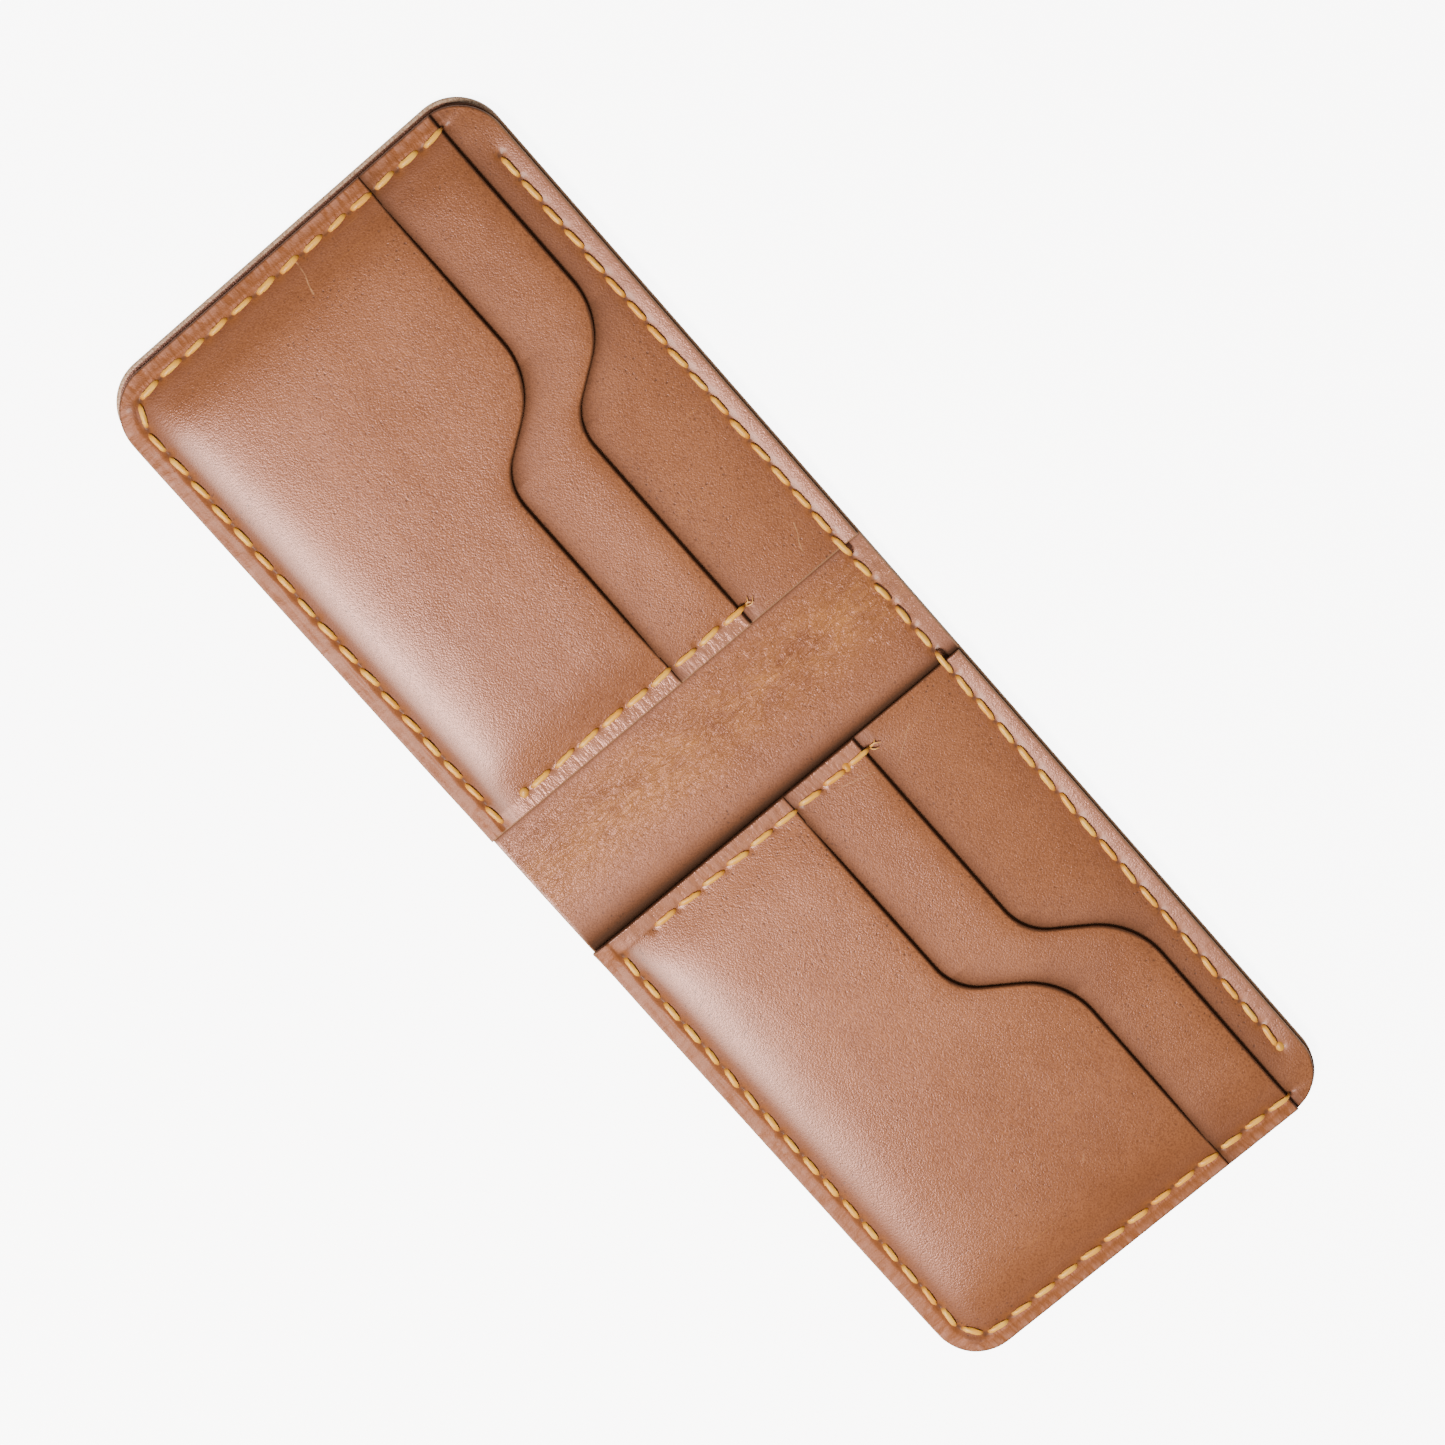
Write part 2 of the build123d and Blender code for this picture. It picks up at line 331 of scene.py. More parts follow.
def topPath(half):
    # the two holes on the lining come first, then those along the back panel
    first = 3 * pitch - foldSide
    count = round((half["topEnd"] - first) / pitch)
    panel = np.linspace(first, half["topEnd"], count + 1)
    u = np.concatenate([[first - 2 * pitch, first - pitch], panel])
    return np.stack([u, np.full(len(u), half["topSeam"])], -1)


def pressed(u, v, path, depth=0.24, width=0.85, groove=0.07, along=1.1):
    # leather pulled down at each hole, and a shallow groove along the thread between the holes
    total = np.zeros_like(u)
    for hole in path:
        total = np.maximum(total, depth * bump(np.hypot(u - hole[0], v - hole[1]), width))
    for start, end in zip(path[:-1], path[1:]):
        total = np.maximum(total, groove * bump(segmentGap(u, v, start, end), along))
    return total


for half in halves:
    half["outerHoles"] = outerPath(half)
    half["innerHoles"] = innerPath(half)
    half["topHoles"] = topPath(half)

heights = {
    "shell": shellHigh[2],
    "lining": liningHigh[2],
    "liningSewn": liningHigh[2] - sewnPress,
    "panel": panelHigh[2],
    "panelSewn": panelLow[2] + leather,
    "panelTop": panelHigh[2] - sewnPress,
    "cardStep": 0.35,  # what the slots for cards lift the middle of a back panel by
    "topRim": 0.30,  # the strip beyond the top seam
    "upperPuff": 0.10,
    "upperLip": 0.14,
    "frontTop": frontHigh[2] + 0.3,
    "bead": 0.14,  # swelling just outside the outer seam, and its lumps
    "beadLumps": 0.05,
    "endFall": 0.26,  # how far the sewn margins fall to the rim
    "bottomFall": 0.07,
}
sewnMargin = 2.7  # from the outer seam to the rim


def ridge(u, v, half):
    # outside the seam the layers swell beside the thread and fall away to the edge: a bell 0.9 mm out,
    # less a parabola in the distance outside, steeper at the end than along the bottom
    outside = np.maximum(-seamDistance(u, v, half), 0)
    end = np.clip((u - half["sideSeam"]) / sewnMargin, 0, 1.2)
    low = np.clip((half["bottomSeam"] - v) / sewnMargin, 0, 1.2)
    here = fade(outside, 0.5) * (1 - fade(v - half["sideTop"], 3))
    swelling = heights["bead"] * bump(outside - 0.9, 0.7) + heights["beadLumps"] * ripple(u, v, 3.2, 15)
    return here * (swelling - heights["endFall"] * end ** 2 - heights["bottomFall"] * low ** 2)


def liningTop(half):
    def top(u, v):
        h = heights
        inside = np.where(u > 0, fade(seamDistance(u, v, half) + 1.0, 2.5), 1.0)
        z = h["liningSewn"] + (h["lining"] - h["liningSewn"]) * inside
        z = z + 0.03 * ripple(half["out"] * (foldSide + u), v, 22, 3)
        return z - pressed(u, v, half["topHoles"][:4])
    return top


def panelTopOf(half):
    # sewn edges are low, the middle stands up, and the strip beyond the top seam turns up again
    def top(u, v):
        h = heights
        z = h["panelSewn"] + (h["panel"] - h["panelSewn"]) * fade(seamDistance(u, v, half) + 0.6, 2.5)
        across = fade(half["reach"] - 6 - u, 4)
        z = z - (h["panel"] - h["panelTop"]) * (1 - fade(half["topSeam"] - v + 0.4, 6.0)) * across
        below = 1 - fade(v - mouthLine(u, upperMouth) + 3, 9)
        z = z + h["cardStep"] * across * fade(u - half["innerSeam"], 6) * below
        z = z + h["topRim"] * fade(v - half["topSeam"], 2.6) * across
        return z + ridge(u, v, half) + 0.025 * ripple(u, v, 30, 5)
    return top


def openness(v):
    # a back panel's free edge stands off most at the bottom: 1 there, 0.4 at the top
    return 1 - 0.6 * v / fullWidth


def freeEdge(half, u, v):
    # the fold-side edge isn't sewn to the lining: it lifts a little, more towards the bottom
    lift = 0.8 if half["side"] == "right" else 0.15
    return lift * np.exp(-np.maximum(u, 0) / 2.6) * openness(v)


def panelSurface(half):
    base = panelTopOf(half)

    def top(u, v):
        z = base(u, v) + freeEdge(half, u, v)
        z = z - pressed(u, v, half["topHoles"][1:]) - pressed(u, v, half["outerHoles"][:2])
        return z - pressed(u, v, half["innerHoles"][-2:])
    return top


def upperSurface(half):
    base = panelTopOf(half)

    def top(u, v):
        free = fade(u - half["innerSeam"], 3.0) * fade(half["sideSeam"] - u, 3.5)
        z = base(u, v) + leather + heights["upperPuff"] * free + freeEdge(half, u, v)
        z = z + heights["upperLip"] * free * bump(v - mouthLine(u, upperMouth), 8.0)
        z = z + 0.03 * ripple(u, v, 26, 7) - free * mouthRoll(u, v, upperMouth)
        return z - pressed(u, v, half["outerHoles"][:5]) - pressed(u, v, half["innerHoles"][5:])
    return top


def frontSurface(half):
    # a pillow: steep beside the seams and flat in the middle, by two fades of different reach
    base = panelTopOf(half)
    share = 0.68

    def top(u, v):
        z = base(u, v) + leather + freeEdge(half, u, v)
        side, low, fold = half["sideSeam"] - u, v - half["bottomSeam"], u - half["innerSeam"]
        tight = fade(side, 6.4) * fade(low, 5.6) * fade(fold, 6.0)
        broad = fade(side, 18) * fade(low, 16) * fade(fold, 13)
        z = z + (heights["frontTop"] - z) * tight * (share + (1 - share) * broad)
        z = z + tight * (0.05 * ripple(u, v, 34, 9) - mouthRoll(u, v, frontMouth))
        return z - pressed(u, v, half["outerHoles"]) - pressed(u, v, half["innerHoles"])
    return top


def mouthShade(low):
    # painted shadow on the leather just above a pocket's mouth: two exponentials of the distance d above it
    def shade(u, v):
        above = np.maximum(fromMouth(u, v, low), 0)
        return 0.55 * np.exp(-above / 0.9) + 0.45 * np.exp(-above / 3.0)
    return shade


def shadowBesidePanel(half):
    # painted shadow on the lining beside a back panel's free edge, wider where that edge stands off the
    # lining
    strength, spread = (1.5, 2.4) if half["side"] == "right" else (1.0, 0.1)

    def shade(u, v):
        return strength * np.exp(-np.maximum(-u, 0) / (0.4 + spread * openness(v)))
    return shade


masks = {
    "near": 3.6,  # how far the painted shade beside a seam reaches, near and wide
    "wide": 12,
    "hole": 1.1,
    "blur": 0.5,  # how softly a margin starts
    "rawRim": 0.7,
    "highStrength": 0.35,  # how wrinkled the strip beyond the top seam is
    "middleSeamShade": 0.6,  # how strong the painted shade beside the top seam is on the lining
}


def ramped(distance):
    return np.clip(distance / masks["blur"], 0, 1)


def shadeOf(half, path, paintedShadow=None, margins=1.0, seamShade=1.0, wide=0.0):
    # masks that follow the stitching: how close to a seam, for the painted shade beside it, and which sewn
    # margin it is; also a given painted shadow
    def values(u, v):
        near = np.full_like(u, 1e3)
        for start, end in zip(path[:-1], path[1:]):
            near = np.minimum(near, segmentGap(u, v, start, end))
        holes = np.zeros_like(u)
        for hole in path:
            holes = np.maximum(holes, bump(np.hypot(u - hole[0], v - hole[1]), masks["hole"]))
        outer = ramped(u - half["sideSeam"]) * (v < half["sideTop"] + 1) * margins
        inner = ramped(half["innerSeam"] - u) * (v < half["innerHigh"] + 1.5) * margins
        low = ramped(half["bottomSeam"] - v) * margins
        high = ramped(v - half["topSeam"]) * fade(half["topHoles"][:, 0].max() + 3 - u, 6)
        rim = np.minimum(v, fullWidth - v)
        if half["side"] == "left":
            rim = np.minimum(rim, np.abs(u))
        # painted shade beside the seams: a near and a wide exponential of the distance
        darkening = (1 - wide) * np.exp(-near / masks["near"]) + wide * np.exp(-near / masks["wide"])
        return {
            "seam": seamShade * darkening,
            "hole": holes,
            "shade": paintedShadow(u, v) if paintedShadow else np.zeros_like(u),
            "raw": bump(rim, masks["rawRim"]),
            "marginX": np.maximum(0.9 * outer, 0.8 * inner),
            "marginY": np.maximum(0.65 * low, masks["highStrength"] * high),
            # pale: where the painted sheen goes, on the fold-side margin and the strip beyond the top seam
            "pale": np.maximum(inner * (1 - low), high),
            "ridge": np.maximum(outer, low),
        }
    return values


def endColumns(half, start, count, marks):
    # columns that crowd at the marks and follow the rounded corners at the outer end
    body = spaced(start, half["reach"] - cornerRadius, count, marks)
    corner = half["reach"] - cornerRadius + cornerRadius * np.sin(np.linspace(0, math.pi / 2, 44))
    return np.concatenate([body, corner[1:]])


def pocketColumns(half, p):
    marks = [half["innerSeam"], mouth["start"] + 6, half["sideSeam"] - 12]
    return withEdges(endColumns(half, 0, p["columns"], marks), p["rounding"], True, False)


def pocketEdge(half, low, top):
    # distance inside a pocket's free edges: its fold side, its mouth and its outer end
    def edge(u, v):
        free = np.minimum(u, -fromMouth(u, v, low))
        return np.minimum(free, endDistance(u, v, half["reach"], top))
    return edge


def plateEdge(reach):
    return lambda u, v: endDistance(u, v, reach, fullWidth)


frontPocket = {"columns": 190, "rows": 120, "rounding": 0.3, "wide": 0.22}


def makeFrontPocket(half):
    p = frontPocket
    height = frontMouth + mouth["rise"] * 0.5
    t = withEdges(spaced(0, height, p["rows"], [half["bottomSeam"]], 5, 3.5), p["rounding"]) / height
    outline = outlineOf(half["reach"], fullWidth)[0], lambda u: mouthLine(u, frontMouth)
    edge = pocketEdge(half, frontMouth, 200)  # its top is the mouth, so the plate's top is put far away
    return leaf(f"frontPocket_{half['side']}", half, pocketColumns(half, p), t, outline, frontSurface(half),
                edge, leather, p["rounding"], shadeOf(half, half["outerHoles"], wide=p["wide"]))


upperPocket = {"columns": 190, "rows": 90, "rounding": 0.3, "wide": 0.22, "hidden": 9.0, "inset": 2.6}


def makeUpperPocket(half):
    # seen from its own mouth down to a little below the front pocket's mouth
    p = upperPocket
    height = mouth["rise"] + p["hidden"]
    t = withEdges(spaced(0, height, p["rows"]), p["rounding"], False, True) / height

    def lowEdge(u):
        body = fade(u - half["innerSeam"] - p["inset"], 1.2) * fade(half["sideSeam"] - p["inset"] - u, 1.2)
        return mouthLine(u, frontMouth) + 0.08 - p["hidden"] * body

    def highEdge(u):
        return np.minimum(mouthLine(u, upperMouth), fullWidth - cornerCut(u, half["reach"]) - 0.3)

    return leaf(f"upperPocket_{half['side']}", half, pocketColumns(half, p), t, (lowEdge, highEdge),
                upperSurface(half), pocketEdge(half, upperMouth, fullWidth), leather, p["rounding"],
                shadeOf(half, half["outerHoles"][:6], mouthShade(frontMouth), wide=p["wide"]))


backPanel = {"columns": 190, "rows": 110, "rounding": 0.3, "seamShade": 0.6, "wide": 0.1}


def makeBackPanel(half):
    p = backPanel
    marks = [half["innerSeam"], half["sideSeam"] - 10]
    u = withEdges(endColumns(half, 0, p["columns"], marks), p["rounding"], True, False)
    t = withEdges(spaced(0, panelEdge, p["rows"], [half["topSeam"], 2], 5, 4), p["rounding"]) / panelEdge

    def edge(gridU, gridV):
        return np.minimum(gridU, endDistance(gridU, gridV, half["reach"], panelEdge))

    values = shadeOf(half, half["topHoles"], mouthShade(upperMouth), seamShade=p["seamShade"], wide=p["wide"])
    return leaf(f"backPanel_{half['side']}", half, u, t, outlineOf(half["reach"], panelEdge),
                panelSurface(half), edge, leather, p["rounding"], values)


shell = {"columns": 150, "rows": 120, "rounding": 0.4, "foldColumns": 34, "crowding": 4,
         "pressed": (0.5, 0.8, 0.42, 0.75)}  # at the back: holes' depth and width, groove's depth and width
lining = {"columns": 150, "rows": 120, "rounding": 0.28, "foldColumns": 40, "crowding": 3}


def spineColumns(half, p):
    # from the middle of the half's spine strip out to the rounded end
    strip = spaced(foldPitch / 2 - foldSide, 2, p["foldColumns"])
    return np.unique(np.concatenate([strip, endColumns(half, 2, p["columns"], [])]))


def plateRows(p, seam):
    return withEdges(spaced(0, fullWidth, p["rows"], [seam], p["crowding"], 3), p["rounding"]) / fullWidth


def shellTop(u, v):
    return np.full_like(u, heights["shell"])


def makeShellHalf(half):
    p = shell
    reach = shellHigh[0] - foldSide

    def under(u, v):
        return pressed(u, v, half["outerHoles"], *p["pressed"])

    return leaf(f"shell_{half['side']}", half, spineColumns({**half, "reach": reach}, p),
                plateRows(p, half["bottomSeam"]), outlineOf(reach, fullWidth), shellTop, plateEdge(reach),
                shellHigh[2], p["rounding"], shadeOf(half, half["outerHoles"], margins=0.0), under)


def makeLiningHalf(half):
    p = lining
    values = shadeOf(half, half["topHoles"][:4], shadowBesidePanel(half), 0.0, masks["middleSeamShade"])
    return leaf(f"lining_{half['side']}", half, spineColumns(half, p), plateRows(p, half["topSeam"]),
                outlineOf(half["reach"], fullWidth), liningTop(half), plateEdge(half["reach"]),
                leather, p["rounding"], values)


def makeMiddle(name, p, topOf, thick, sewn):
    # the stretch across the middle bending line; only the lining is sewn there
    half = halves[0]
    u = np.linspace(-foldPitch / 2, foldPitch / 2, 26) - foldSide

    def edge(gridU, gridV):
        return np.minimum(gridV, fullWidth - gridV)

    def values(gridU, gridV):
        zero = np.zeros_like(gridU)
        near = np.abs(gridV - half["topSeam"]) if sewn else np.full_like(gridU, 50.0)
        high = ramped(gridV - half["topSeam"])
        return {
            "seam": masks["middleSeamShade"] * np.exp(-near / masks["near"]),
            "hole": zero,
            "shade": zero,
            "raw": bump(edge(gridU, gridV), masks["rawRim"]),
            "marginX": zero,
            "marginY": masks["highStrength"] * high,
            # pale: the painted sheen beyond the top seam
            "pale": high,
            "ridge": zero,
        }

    outline = np.zeros_like, lambda x: np.full_like(x, fullWidth)
    rows = plateRows(p, half["topSeam"] if sewn else half["bottomSeam"])
    return leaf(name, half, u, rows, outline, topOf, edge, thick, p["rounding"], values)


def middleLiningTop(u, v):
    z = heights["lining"] + 0.03 * ripple(foldSide + u, v, 22, 3)
    holes = np.array([[step * foldPitch - foldSide, halves[0]["topSeam"]] for step in (-1, 0, 1)])
    return z - pressed(u, v, holes)


thread = {
    "width": 0.98,
    "height": 0.58,
    "proud": 0.28,
    "around": 10,
    "along": 48,
    "twist": 2.5,  # radians to the millimetre, and how deep the plies show
    "ply": 0.10,
    "lean": (-3.5, 2.2),  # degrees, with its spread
    "lengthSpread": 0.06,
    "widthSpread": 0.05,
    "shorten": 0.95,  # so much shorter than the distance between holes
    "shortenSpine": 1.6,
    "squareness": 4.2,
    "crown": 0.10,
    "taper": 0.42,
    "flatTaper": 0.25,
    "backSide": 0.52,  # height of the outer seam's stitches under the shell
    "endBall": 0.85,
    "endAmber": 0.45,
    "tailAmber": 0.35,
}


def stitchRow(half, path, lowOf, highOf, draw, shorten=thread["shorten"]):
    # each stitch is one closed loop of thread: |x / a|^n + |z / b|^n = 1 along its length,
    # carried by an oval section that narrows where the thread enters the leather
    p = thread
    angle = np.linspace(0, 2 * math.pi, p["along"], endpoint=False)
    section = np.linspace(0, 2 * math.pi, p["around"], endpoint=False)
    c, s = np.cos(angle), np.sin(angle)
    power = 2 / p["squareness"]
    points, faces, amber = [], [], []
    for start, end in zip(path[:-1], path[1:]):
        centre = (start + end) / 2
        step = end - start
        heading = math.atan2(step[1], step[0]) + math.radians(draw.normal(*p["lean"]))
        a = np.hypot(*step) / 2 - shorten / 2 + draw.normal(0, p["lengthSpread"])
        low, high = lowOf(*centre), highOf(*centre)
        b, middle = (high - low) / 2, (high + low) / 2
        x = a * np.sign(c) * np.abs(c) ** power
        z = b * np.sign(s) * np.abs(s) ** power
        z = z + p["crown"] * np.cos(x / a * math.pi / 2) * np.sign(s) - p["crown"] / 2
        share = np.abs(x / a)
        width = p["width"] / 2 * (1 - p["taper"] * share ** 3) * (1 + draw.normal(0, p["widthSpread"]))
        depth = p["height"] / 2 * (1 - p["flatTaper"] * share ** 3)
        tx, tz = np.roll(x, -1) - np.roll(x, 1), np.roll(z, -1) - np.roll(z, 1)
        run = np.hypot(tx, tz)
        nx, nz = tz / run, -tx / run  # outward normal of the loop
        length = np.cumsum(np.hypot(np.diff(x, append=x[0]), np.diff(z, append=z[0])))
        ply = 1 + p["ply"] * np.cos(3 * section[None, :] - p["twist"] * length[:, None])
        side = width[:, None] * np.cos(section)[None, :] * ply
        out = depth[:, None] * np.sin(section)[None, :] * ply
        px = x[:, None] - nx[:, None] * out
        pz = z[:, None] - nz[:, None] * out
        py = side + draw.normal(0, p["widthSpread"])
        u = centre[0] + px * math.cos(heading) - py * math.sin(heading)
        v = centre[1] + px * math.sin(heading) + py * math.cos(heading)
        world = np.stack([half["out"] * (foldSide + u), v - halfWidth, pz + middle], -1)
        faces.append(gridFaces(p["along"], p["around"], len(points) * p["along"] * p["around"], True, True))
        points.append(world.reshape(-1, 3))
        amber.append(np.repeat(np.clip((share - 0.55) / 0.4, 0, 1) ** 1.5, p["around"]))
    quads = np.concatenate(faces)
    if half["out"] < 0:
        quads = quads[:, ::-1]
    return np.concatenate(points), quads, np.concatenate(amber)


def blob(centre, radius, lumps):
    # melted thread end: r = R (1 + lumps), flattened; poles are joined by short triangles as quads
    n, m = 18, 12
    around = np.linspace(0, 2 * math.pi, n, endpoint=False)
    up = np.linspace(0.12, math.pi - 0.12, m)
    a, b = np.meshgrid(around, up, indexing="ij")
    r = radius * (1 + 0.10 * np.sin(2 * a + lumps) * np.sin(b) + 0.06 * np.cos(3 * b + lumps))
    ring = np.stack([r * np.sin(b) * np.cos(a), r * np.sin(b) * np.sin(a), 0.72 * r * np.cos(b)], -1)
    points = ring.reshape(-1, 3)
    quads = gridFaces(n, m, 0, True, False)[:, ::-1]
    caps = []
    for row, flip in ((0, False), (m - 1, True)):
        rim = np.arange(n) * m + row
        pairs = [[rim[k], rim[k + 1], rim[(n - 2 - k)], rim[(n - 1 - k) % n]] for k in range(n // 2 - 1)]
        caps += [q[::-1] if flip else q for q in pairs]
    return points + np.array(centre), np.concatenate([quads, np.array(caps)])


def tail(half, start, end, z, draw):
    # a loose end of thread: a tapering tube along p = start + (end - start) t, bowed and lifted by sines
    n, m = 12, 6
    t = np.linspace(0, 1, n)
    run = np.array(end) - np.array(start)
    bow = draw.uniform(-0.35, 0.35) * np.sin(math.pi * t)
    side = np.array([-run[1], run[0]])
    line = np.array(start) + run * t[:, None] + side * bow[:, None]
    angle = np.linspace(0, 2 * math.pi, m, endpoint=False)
    radius = 0.17 * (1 - 0.75 * t) + 0.02
    across = side / np.hypot(*side)
    u = line[:, :1] + across[0] * (radius[:, None] * np.cos(angle))
    v = line[:, 1:] + across[1] * (radius[:, None] * np.cos(angle))
    height = z + 0.45 * np.sin(math.pi * 0.6 * t)[:, None] + radius[:, None] * np.sin(angle)
    points = np.stack([half["out"] * (foldSide + u), v - halfWidth, height], -1).reshape(-1, 3)
    faces = gridFaces(n, m, 0, False, True)
    caps = np.array([[0, 1, 2, 3], [3, 4, 5, 0]])
    last = (n - 1) * m
    faces = np.concatenate([faces, caps[:, ::-1], caps + last])
    if half["out"] < 0:
        faces = faces[:, ::-1]
    return points, faces, np.full(len(points), thread["tailAmber"])


def ballAt(half, u, v, z, draw):
    place = half["out"] * (foldSide + u), v - halfWidth, z
    points, faces = blob(place, thread["endBall"], draw.uniform(0, 6))
    return points, faces, np.full(len(points), thread["endAmber"])


def threadPiece(name, rows):
    # joins rows of stitches, beads and loose ends into one piece
    starts = np.cumsum([0] + [len(points) for points, quads, amber in rows])
    faces = [quads + start for (points, quads, amber), start in zip(rows, starts)]
    return meshOf(name, np.concatenate([row[0] for row in rows]), np.concatenate(faces),
                  {"amber": np.concatenate([row[2] for row in rows])})


def always(height):
    return lambda u, v: height


def heightAt(surface, u, v):
    return float(surface(np.array([u]), np.array([v]))[0]) + thread["proud"]


def outerSurfaceAt(half):
    front, upper, back = frontSurface(half), upperSurface(half), panelSurface(half)

    def top(u, v):
        if v < mouthLine(np.array([u]), frontMouth)[0]:
            return heightAt(front, u, v)
        if v < mouthLine(np.array([u]), upperMouth)[0]:
            return heightAt(upper, u, v)
        return heightAt(back, u, v)
    return top


def makeSeams(half):
    side = half["side"]
    draw = np.random.default_rng(21 if side == "right" else 22)
    top = outerSurfaceAt(half)
    onLining, onShell = always(heights["lining"] + 0.35), always(heights["shell"] + 0.45)
    outer = stitchRow(half, half["outerHoles"], always(thread["backSide"]), top, draw)
    made = {"outer": threadPiece(f"outerSeam_{side}", [outer])}

    # the inner seam ends in a bead, and in three loose ends at its top
    inner = [stitchRow(half, half["innerHoles"], onLining, top, draw)]
    ballV = half["innerHoles"][-2][1] if side == "right" else half["innerHoles"][0][1] - 1.0
    inner.append(ballAt(half, half["innerSeam"], ballV, top(half["innerSeam"], ballV) - 0.45, draw))
    knotU, knotV = half["innerHoles"][-1]
    knotZ = top(knotU, knotV - 0.3) - 0.15
    for reachU, reachV in ((0.5, 1.7), (-0.5, 1.2), (1.0, 0.9)):
        inner.append(tail(half, (knotU, knotV - 0.4), (knotU + reachU, knotV + reachV), knotZ, draw))
    made["inner"] = threadPiece(f"innerSeam_{side}", inner)

    def panelAt(u, v):
        if u < -1.5:
            return heightAt(liningTop(half), u, v)
        return heightAt(panelSurface(half), max(u, 0.6), v)

    rows = [stitchRow(half, half["topHoles"][1:], onShell, panelAt, draw),
            stitchRow(half, half["topHoles"][:2], onShell, panelAt, draw, thread["shortenSpine"])]
    if side == "right":
        u, v = half["topEnd"], half["topSeam"]
        rows.append(ballAt(half, u, v, panelAt(u, v) - 0.45, draw))
    made["top"] = threadPiece(f"topSeam_{side}", rows)

    count = round((half["floorEnd"] - half["floorStart"]) / pitch) + 1
    alongFloor = np.linspace(half["floorStart"], half["floorEnd"], count)
    path = np.stack([alongFloor, np.full(count, half["floorSeam"])], -1)
    floorTop = always(heights["panel"] + leather + 0.1)
    made["floor"] = threadPiece(f"floorSeam_{side}", [stitchRow(half, path, onLining, floorTop, draw)])

    spine = np.array([[-foldSide, half["topSeam"]], [-foldSide + foldPitch, half["topSeam"]]])
    spineTop = always(heights["lining"] + 0.42)
    row = stitchRow(half, spine, onShell, spineTop, draw, thread["shortenSpine"])
    made["spine"] = threadPiece(f"spineStitch_{side}", [row])
    return made


def newGroup(name, inputs, outputs):
    # a node group: an input without a starting value is a vector, and every other socket is a number
    tree = bpy.data.node_groups.new(name, "ShaderNodeTree")
    for label, start in inputs.items():
        kind = "NodeSocketVector" if start is None else "NodeSocketFloat"
        made = tree.interface.new_socket(label, in_out="INPUT", socket_type=kind)
        if start is not None:
            made.default_value = start
    for label in outputs:
        tree.interface.new_socket(label, in_out="OUTPUT", socket_type="NodeSocketFloat")
    return Nodes(tree), tree.nodes.new("NodeGroupInput").outputs[:len(inputs)]


def closeGroup(n, results):
    out = n.tree.nodes.new("NodeGroupOutput")
    for index, result in enumerate(results):
        n.feed(out.inputs[index], result)
    return n.tree


class Nodes:
    # short calls for putting nodes in a tree and joining them
    def __init__(self, tree):
        self.tree = tree

    def feed(self, target, value):
        if isinstance(value, bpy.types.NodeSocket):
            self.tree.links.new(value, target)
        elif target.type == "RGBA" and len(value) == 3:
            target.default_value = (*value, 1)
        else:
            target.default_value = value

    def add(self, kind, inputs=None, **settings):
        node = self.tree.nodes.new("ShaderNode" + kind)
        for key, value in settings.items():
            setattr(node, key, value)
        for key, value in (inputs or {}).items():
            self.feed(node.inputs[key], value)
        return node

    def math(self, operation, a, b=0.0, clamp=False):
        return self.add("Math", {0: a, 1: b}, operation=operation, use_clamp=clamp).outputs[0]

    def times(self, a, b, clamp=False):
        return self.math("MULTIPLY", a, b, clamp)

    def vector(self, operation, inputs, result=0):
        return self.add("VectorMath", inputs, operation=operation).outputs[result]

    def wavered(self, place, noise, reach):
        return self.vector("MULTIPLY_ADD", {0: noise, 1: reach, 2: place})

    def noise(self, place, scale, detail, **more):
        return self.add("TexNoise", {"Vector": place, "Scale": scale, "Detail": detail, **more}).outputs

    def mapped(self, place, **more):
        return self.add("Mapping", {"Vector": place, **more}).outputs[0]

    def mix(self, factor, a, b):
        return self.add("Mix", {0: factor, 6: a, 7: b}, data_type="RGBA", clamp_factor=True).outputs[2]

    def ramp(self, value, *stops):
        node = self.add("ValToRGB", {0: value})
        for element, (place, level) in zip(node.color_ramp.elements, stops):
            element.position = place
            element.color = (level, level, level, 1)
        return node.outputs[0]

    def attribute(self, name):
        return self.add("Attribute", attribute_name=name).outputs["Fac"]


def makeGrainGroup():
    # fine pebbled grain with pores: height, and a mask of the pores
    given = {"Vector": None, "Scale": 1500.0, "Wrinkle": 0.3}
    n, (place, scale, wrinkle) = newGroup("leatherGrain", given, ["Height", "Pores"])
    bent = n.wavered(place, n.noise(place, 900.0, 3.0)["Color"], (0.0006, 0.0006, 0.0006))
    cells = n.add("TexVoronoi", {"Vector": bent, "Scale": scale, "Smoothness": 0.35}, feature="SMOOTH_F1")
    pebble = n.math("SUBTRACT", 1.0, cells.outputs["Distance"])
    fine = n.noise(place, 3800.0, 4.0)["Fac"]
    soft = n.noise(place, 260.0, 3.0)["Fac"]
    poreCells = n.add("TexVoronoi", {"Vector": bent, "Scale": 980.0}, feature="F1")
    often = n.ramp(n.noise(place, 75.0, 2.0)["Fac"], (0.42, 0.25), (0.62, 1.0))
    pores = n.times(n.ramp(poreCells.outputs["Distance"], (0.12, 1.0), (0.25, 0.0)), often)
    height = n.times(pebble, 0.55)
    height = n.math("ADD", height, n.times(fine, 0.25))
    height = n.math("ADD", height, n.times(soft, wrinkle))
    height = n.math("SUBTRACT", height, n.times(pores, 0.25))
    return closeGroup(n, [height, pores])


